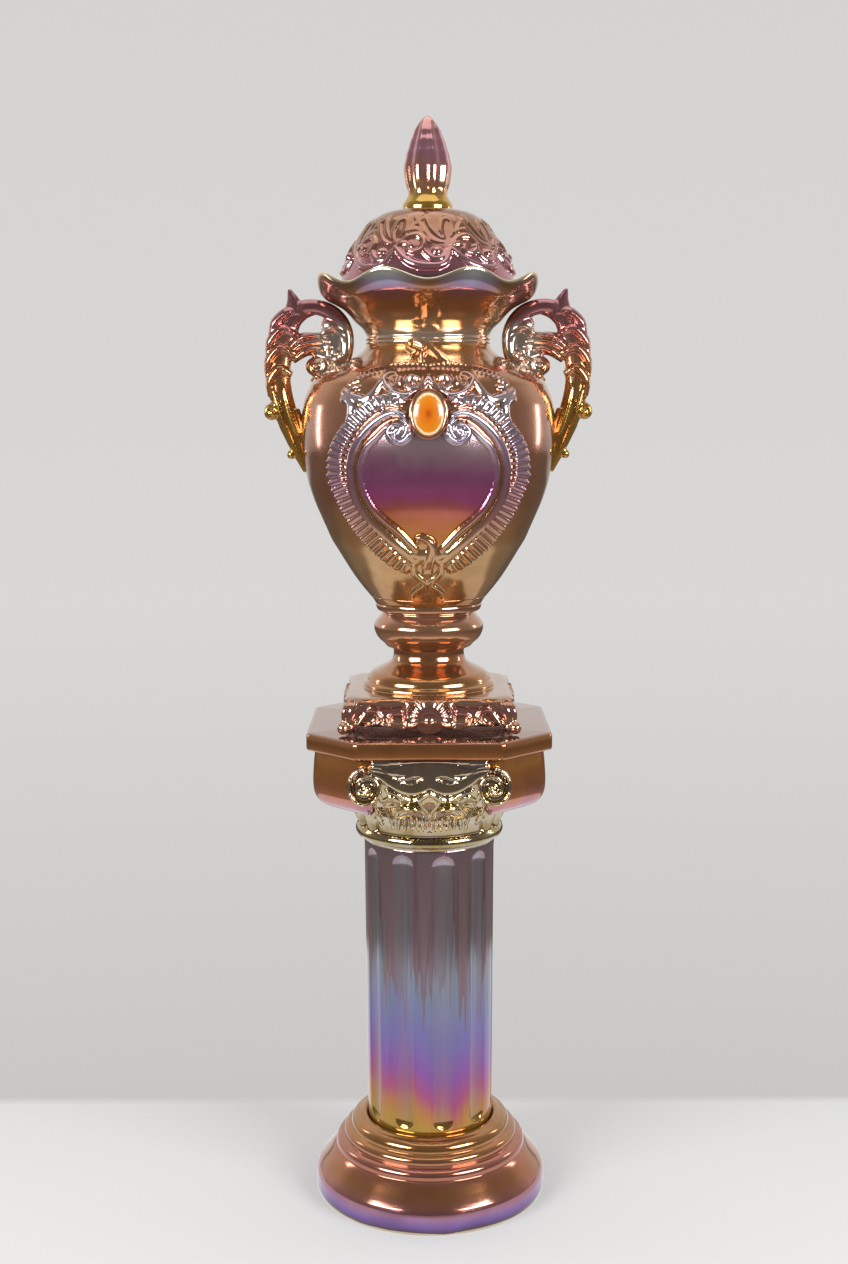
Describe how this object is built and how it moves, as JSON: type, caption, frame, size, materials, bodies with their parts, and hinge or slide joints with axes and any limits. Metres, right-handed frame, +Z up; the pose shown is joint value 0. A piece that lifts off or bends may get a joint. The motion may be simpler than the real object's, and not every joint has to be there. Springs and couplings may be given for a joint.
{
  "type": "lidded two-handled urn on a column pedestal",
  "caption": "Tall lidded ceramic urn with scrolled side handles and a ruffled mouth, standing on a fluted column pedestal with a square slab and a stepped round base.",
  "frame": {"origin": "centre of the underside of the base ring", "axes": "+Z up, the cartouche on the urn faces -Y, the handles lie along X"},
  "size_m": [0.375, 0.3018, 1.25],
  "materials": {
    "lid": "iridescent lustre glaze, copper and mauve, gold collar",
    "urn": "iridescent lustre glaze, copper brown with violet, blue and gold",
    "front_cabochon": "gloss orange with a cream rim",
    "column": "iridescent lustre glaze from brown through lavender and magenta to gold, mirror silver-gold capital",
    "base": "iridescent lustre glaze, copper brown with a violet lower rim"
  },
  "bodies": {
    "root": {"lid": "lid", "urn": "urn", "front_cabochon": "front_cabochon", "column": "column", "base": "base"}
  },
  "joints": []
}
